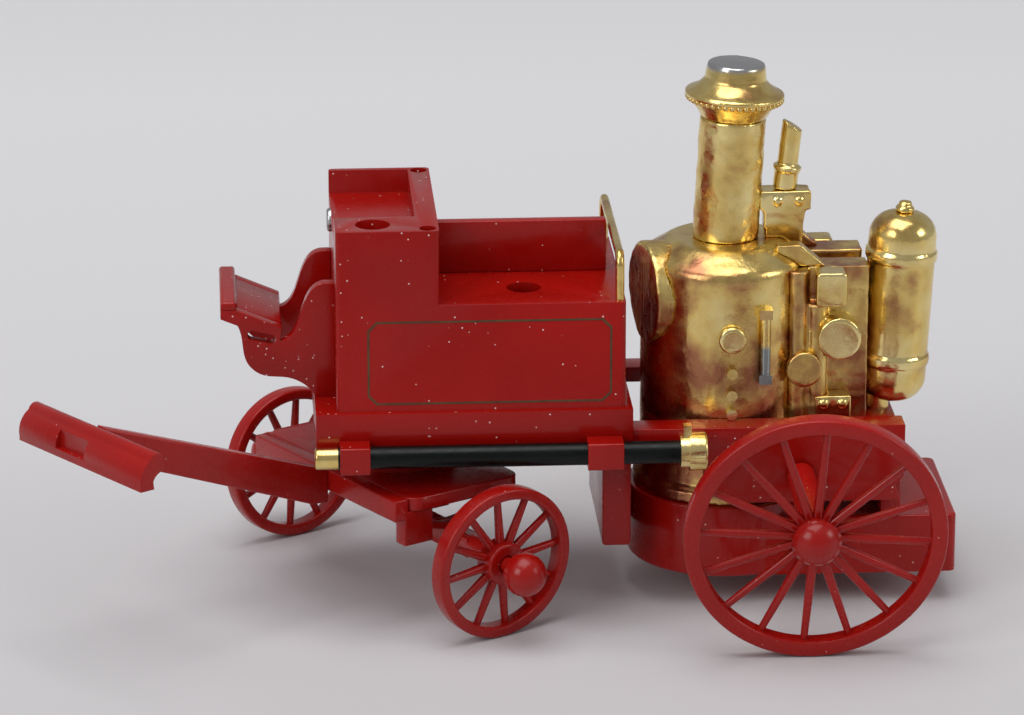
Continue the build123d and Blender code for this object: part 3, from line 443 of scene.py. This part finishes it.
platedSkin = {
    "voxel": 0.17 * mm, "largeVoxel": 0.26 * mm, "largeNodes": ("boiler_barrel",),
    "dent": 0.055 * mm, "dentScale": 1050, "ripple": 0.06 * mm, "rippleScale": 420,
    "roughStrength": 1.0, "evenStrength": 0.30, "smoothing": 3,
}
roughNodes = ("chimney", "firehole_door", "engine_frame", "steam_pipes", "valve_block")
platedNodes = [
    "boiler_barrel", "firehole_door", "chimney", "chimney_cap", "boiler_boss", "engine_frame",
    "steam_chest_left", "steam_chest_right", "pump_barrel_left", "pump_barrel_right", "suction_branches",
    "valve_boxes", "steam_pipes", "valve_block", "exhaust_pipe", "air_vessel", "vessel_finial",
]


def plateSkin(node, skin):
    source = bpy.data.objects.new("source", mergedCopy(node))
    bpy.context.scene.collection.objects.link(source)
    remesh = source.modifiers.new("remesh", "REMESH")
    remesh.mode = "VOXEL"
    remesh.voxel_size = skin["largeVoxel"] if node in skin["largeNodes"] else skin["voxel"]
    smooth = source.modifiers.new("smooth", "SMOOTH")
    smooth.iterations = skin["smoothing"]
    mesh = plainMesh(source, node + "_plated")
    bpy.data.objects.remove(source)
    strength = skin["roughStrength"] if node in roughNodes else skin["evenStrength"]
    moves = []
    for point in mesh.vertices:
        fine = noise.noise(point.co * skin["dentScale"]) * skin["dent"]
        wide = noise.noise(point.co * skin["rippleScale"]) * skin["ripple"]
        moves.append(point.co + point.normal * strength * (fine + wide))
    for point, place in zip(mesh.vertices, moves):
        point.co = place
    mesh.shade_smooth()
    addPiece(node + "_plated", mesh, bodyOf[node], finishOf(node), [node])


for node in platedNodes:
    plateSkin(node, platedSkin)
print("plated pieces made:", len(platedNodes))

# spoked wheels, each on the axis of its own joint

wheelSizes = {
    "rear": {"rimDepth": 1.6, "spokes": 16, "root": 0.52, "tip": 0.36, "turn": -4.0},
    "front": {"rimDepth": 1.15, "spokes": 12, "root": 0.48, "tip": 0.36, "turn": 6.0},
}
wheelShared = {"width": 1.9, "hubRadius": 2.2, "hubLength": 2.3, "bore": 0.86, "corner": 0.28}
spokeEnds = {"inHub": 0.3 * mm, "inRim": 0.2 * mm}
wheelSteps = {"rim": 128, "hub": 48, "corner": 4, "spoke": 14, "spokeRows": 6}


def addInput(tree, name, kind, value=None):
    socket = tree.interface.new_socket(name, in_out="INPUT", socket_type=kind)
    if value is not None:
        socket.default_value = value
    return socket.identifier


def finishTree(tree, geometry, finish):
    real = addNode(tree, "GeometryNodeRealizeInstances")
    painted = addNode(tree, "GeometryNodeSetMaterial")
    out = addNode(tree, "NodeGroupOutput")
    tree.links.new(geometry, real.inputs[0])
    tree.links.new(real.outputs[0], painted.inputs["Geometry"])
    tree.links.new(finish, painted.inputs["Material"])
    tree.links.new(painted.outputs[0], out.inputs[0])


def wheelTree():
    tree = bpy.data.node_groups.new("spokedWheel", "GeometryNodeTree")
    tree.interface.new_socket("Geometry", in_out="OUTPUT", socket_type="NodeSocketGeometry")
    ids = {}
    lengths = (
        "Radius", "Rim Depth", "Rim Width", "Hub Radius", "Hub Length", "Bore", "Corner", "Root", "Tip",
    )
    for name in lengths:
        ids[name] = addInput(tree, name, "NodeSocketFloat", 0.001)
    ids["Spokes"] = addInput(tree, "Spokes", "NodeSocketInt", 12)
    ids["Finish"] = addInput(tree, "Finish", "NodeSocketMaterial")
    given = addNode(tree, "NodeGroupInput").outputs

    def maths(operation, a, b):
        made = addNode(tree, "ShaderNodeMath", operation=operation)
        for socket, value in zip(made.inputs, (a, b)):
            if isinstance(value, (int, float)):
                socket.default_value = value
            else:
                tree.links.new(value, socket)
        return made.outputs[0]

    def ring(radius, across, along, steps):
        circle = addNode(tree, "GeometryNodeCurvePrimitiveCircle", {"Resolution": steps})
        tree.links.new(radius, circle.inputs["Radius"])
        section = addNode(tree, "GeometryNodeCurvePrimitiveQuadrilateral")
        tree.links.new(across, section.inputs["Width"])
        tree.links.new(along, section.inputs["Height"])
        rounded = addNode(tree, "GeometryNodeFilletCurve", mode="POLY")
        rounded.inputs["Count"].default_value = wheelSteps["corner"]
        tree.links.new(section.outputs["Curve"], rounded.inputs["Curve"])
        tree.links.new(given["Corner"], rounded.inputs["Radius"])
        swept = addNode(tree, "GeometryNodeCurveToMesh")
        tree.links.new(circle.outputs["Curve"], swept.inputs["Curve"])
        tree.links.new(rounded.outputs["Curve"], swept.inputs["Profile Curve"])
        return swept.outputs["Mesh"]

    rimMiddle = maths("SUBTRACT", given["Radius"], maths("MULTIPLY", given["Rim Depth"], 0.5))
    rim = ring(rimMiddle, given["Rim Depth"], given["Rim Width"], wheelSteps["rim"])
    hubMiddle = maths("MULTIPLY", maths("ADD", given["Hub Radius"], given["Bore"]), 0.5)
    hubWall = maths("SUBTRACT", given["Hub Radius"], given["Bore"])
    hub = ring(hubMiddle, hubWall, given["Hub Length"], wheelSteps["hub"])

    start = maths("SUBTRACT", given["Hub Radius"], spokeEnds["inHub"])
    end = maths("SUBTRACT", given["Radius"], maths("SUBTRACT", given["Rim Depth"], spokeEnds["inRim"]))
    spoke = addNode(tree, "GeometryNodeMeshCone", {
        "Vertices": wheelSteps["spoke"], "Side Segments": wheelSteps["spokeRows"]})
    tree.links.new(given["Tip"], spoke.inputs["Radius Top"])
    tree.links.new(given["Root"], spoke.inputs["Radius Bottom"])
    tree.links.new(maths("SUBTRACT", end, start), spoke.inputs["Depth"])
    reach = addNode(tree, "ShaderNodeCombineXYZ")
    tree.links.new(start, reach.inputs["X"])
    laid = addNode(tree, "GeometryNodeTransform", {"Rotation": (0, pi / 2, 0)})
    tree.links.new(spoke.outputs["Mesh"], laid.inputs["Geometry"])
    tree.links.new(reach.outputs[0], laid.inputs["Translation"])
    points = addNode(tree, "GeometryNodePoints")
    tree.links.new(given["Spokes"], points.inputs["Count"])
    index = addNode(tree, "GeometryNodeInputIndex")
    angle = maths("DIVIDE", maths("MULTIPLY", index.outputs[0], 2 * pi), given["Spokes"])
    turned = addNode(tree, "ShaderNodeCombineXYZ")
    tree.links.new(angle, turned.inputs["Z"])
    placed = addNode(tree, "GeometryNodeInstanceOnPoints")
    tree.links.new(points.outputs[0], placed.inputs["Points"])
    tree.links.new(laid.outputs[0], placed.inputs["Instance"])
    tree.links.new(turned.outputs[0], placed.inputs["Rotation"])
    joined = addNode(tree, "GeometryNodeJoinGeometry")
    for part in (placed.outputs["Instances"], hub, rim):
        tree.links.new(part, joined.inputs[0])
    finishTree(tree, joined.outputs[0], given["Finish"])
    return tree, ids


def grow(tree, ids, values, name):
    source = bpy.data.objects.new("source", bpy.data.meshes.new("source"))
    bpy.context.scene.collection.objects.link(source)
    modifier = source.modifiers.new("nodes", "NODES")
    modifier.node_group = tree
    for key, value in values.items():
        modifier[ids[key]] = value
    mesh = plainMesh(source, name)
    source.modifiers.remove(modifier)
    bpy.data.objects.remove(source)
    return mesh


def outward(mesh):
    work = bmesh.new()
    work.from_mesh(mesh)
    bmesh.ops.remove_doubles(work, verts=work.verts, dist=mergeDistance)
    bmesh.ops.recalc_face_normals(work, faces=work.faces)
    work.to_mesh(mesh)
    work.free()
    mesh.shade_smooth()
    mesh.set_sharp_from_angle(angle=sharpAbove)


wheelNodes, wheelIds = wheelTree()


def makeWheel(end, side):
    node = f"{end}_wheel_{side}"
    joint = next(j for j in frame["joints"] if j["child"] == node)
    size, shared = wheelSizes[end], wheelShared
    axis = Vector(joint["axis"])
    camber = asin(-axis.z)
    low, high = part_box(node)
    radius = ((high - low).z - shared["width"] * mm * sin(camber)) / (2 * cos(camber))
    values = {
        "Radius": radius, "Rim Depth": size["rimDepth"] * mm, "Rim Width": shared["width"] * mm,
        "Hub Radius": shared["hubRadius"] * mm, "Hub Length": shared["hubLength"] * mm,
        "Bore": shared["bore"] * mm, "Corner": shared["corner"] * mm,
        "Root": size["root"] * mm, "Tip": size["tip"] * mm, "Spokes": size["spokes"],
        "Finish": finishes[slotOf[node]],
    }
    mesh = grow(wheelNodes, wheelIds, values, node + "_spoked")
    ahead = Vector((0, 0, 1)).cross(axis).normalized()
    up = axis.cross(ahead)
    turn = Matrix((ahead, up, axis)).transposed().to_4x4()
    spin = Matrix.Rotation(radians(size["turn"]), 4, "Z")
    mesh.transform(Matrix.Translation(Vector(joint["pos_m"])) @ turn @ spin)
    outward(mesh)
    addPiece(node + "_spoked", mesh, node, finishes[slotOf[node]], [node])


for end in ("rear", "front"):
    for side in ("left", "right"):
        makeWheel(end, side)
print("wheels made: 4")

# thin painted border on both sides of the body

shellLow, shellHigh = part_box("body_shell")
border = {  # how far the line stays inside the panel, whose edges come after
    "front": 3.1 * mm, "rear": 1.4 * mm, "top": 1.6 * mm, "bottom": 0.7 * mm,
    "corner": 0.9 * mm, "cornerShare": 0.4, "line": 0.20 * mm, "thick": 0.03 * mm,
    "panelFront": shellLow.x + 2.1 * mm, "panelRear": shellHigh.x - 0.7 * mm,
    "skirt": shellLow.z + 3.5 * mm, "bench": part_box("seat_partition")[0].z, "side": shellHigh.y - 0.7 * mm,
}


def borderOutline(sizes, inset):
    # the cut-corner outline, as (x, z) points
    lowX = sizes["panelFront"] + sizes["front"] + inset
    highX = sizes["panelRear"] - sizes["rear"] - inset
    lowZ, highZ = sizes["skirt"] + sizes["bottom"] + inset, sizes["bench"] - sizes["top"] - inset
    cut = sizes["corner"] - sizes["cornerShare"] * inset
    return [
        (lowX + cut, lowZ), (highX - cut, lowZ), (highX, lowZ + cut), (highX, highZ - cut),
        (highX - cut, highZ), (lowX + cut, highZ), (lowX, highZ - cut), (lowX, lowZ + cut),
    ]


def makeBorder(side, name, sizes):
    work = bmesh.new()
    loops = []
    for inset in (0, sizes["line"]):
        for proud in (-sizes["thick"], sizes["thick"]):
            y = side * (sizes["side"] + proud)
            loops.append([work.verts.new((x, y, z)) for x, z in borderOutline(sizes, inset)])
    outerSunk, outerProud, innerSunk, innerProud = loops
    around = (outerSunk, outerProud, innerProud, innerSunk)
    for a, b in zip(around, (*around[1:], outerSunk)):
        for i in range(len(a)):
            j = (i + 1) % len(a)
            work.faces.new((a[i], a[j], b[j], b[i]))
    bmesh.ops.recalc_face_normals(work, faces=work.faces)
    mesh = bpy.data.meshes.new(name)
    work.to_mesh(mesh)
    work.free()
    addPiece(name, mesh, "chassis", borderFinish)


makeBorder(-1, "body_border_left", border)
makeBorder(1, "body_border_right", border)
print("border lines made: 2")

# small knurls round the chimney cap's rim

knurls = {
    "count": 44, "size": 0.30 * mm, "above": 0.28, "lift": 0.5 * mm, "inset": 0.32 * mm,
    "lean": radians(3.0),
}


def knurlTree():
    tree = bpy.data.node_groups.new("capKnurls", "GeometryNodeTree")
    tree.interface.new_socket("Geometry", in_out="OUTPUT", socket_type="NodeSocketGeometry")
    ids = {"Radius": addInput(tree, "Radius", "NodeSocketFloat", 0.004)}
    ids["Size"] = addInput(tree, "Size", "NodeSocketFloat", 0.0003)
    ids["Count"] = addInput(tree, "Count", "NodeSocketInt", 40)
    ids["Finish"] = addInput(tree, "Finish", "NodeSocketMaterial")
    given = addNode(tree, "NodeGroupInput").outputs
    circle = addNode(tree, "GeometryNodeMeshCircle")
    tree.links.new(given["Count"], circle.inputs["Vertices"])
    tree.links.new(given["Radius"], circle.inputs["Radius"])
    bead = addNode(tree, "GeometryNodeMeshIcoSphere", {"Subdivisions": 2})
    tree.links.new(given["Size"], bead.inputs["Radius"])
    placed = addNode(tree, "GeometryNodeInstanceOnPoints")
    tree.links.new(circle.outputs[0], placed.inputs["Points"])
    tree.links.new(bead.outputs["Mesh"], placed.inputs["Instance"])
    finishTree(tree, placed.outputs["Instances"], given["Finish"])
    return tree, ids


def makeKnurls(look):
    low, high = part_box("chimney_cap")
    middle = (low + high) / 2
    tree, ids = knurlTree()
    values = {
        "Radius": (high - low).y / 2 - look["inset"], "Size": look["size"], "Count": look["count"],
        "Finish": finishes["plated_gold"],
    }
    mesh = grow(tree, ids, values, "cap_knurls")
    rise = low.z + (high - low).z * look["above"] + look["lift"]
    mesh.transform(Matrix.Translation((middle.x, middle.y, rise)) @ Matrix.Rotation(look["lean"], 4, "Y"))
    mesh.shade_smooth()
    addPiece("cap_knurls", mesh, "chassis", finishes["plated_gold"])


makeKnurls(knurls)
print("knurls made:", knurls["count"])

# floor and lamps


def makeFloor(look):
    size = look["floorSize"]
    mesh = bpy.data.meshes.new("floor")
    corners = [(-size, -size), (size, -size), (size, size), (-size, size)]
    mesh.from_pydata([(x, y, cadBox[0].z) for x, y in corners], [], [(0, 1, 2, 3)])
    material, tree, shader, place = newMaterial("paleTable")
    # painted shade: the floor's colour darkens towards the camera
    away = axisValue(tree, place, 1, look["floorNearY"], look["floorFarY"], 0, 1)
    colour = ramp(tree, away, [(0, look["floorShadedNear"]), (1, look["floorFar"])])
    tree.links.new(colour, shader.inputs["Base Color"])
    shader.inputs["Roughness"].default_value = look["floorRough"]
    mesh.materials.append(material)
    floor = bpy.data.objects.new("floor", mesh)
    bpy.context.scene.collection.objects.link(floor)


def makeLamps(look):
    for name, place, size, watts in look["lamps"]:
        data = bpy.data.lights.new(name, "AREA")
        data.size = size
        data.energy = watts
        lamp = bpy.data.objects.new(name, data)
        lamp.location = place
        lamp.rotation_euler = (-Vector(place)).to_track_quat("-Z", "Y").to_euler()
        bpy.context.scene.collection.objects.link(lamp)
    world = bpy.data.worlds.new("studio")
    world.use_nodes = True
    back = world.node_tree.nodes["Background"]
    back.inputs["Color"].default_value = (*look["worldColour"], 1)
    back.inputs["Strength"].default_value = look["worldStrength"]
    bpy.context.scene.world = world


makeFloor(studio)
makeLamps(studio)
setCamera(cameraLook)
bpy.context.scene.view_settings.view_transform = "Standard"
print("stage set")
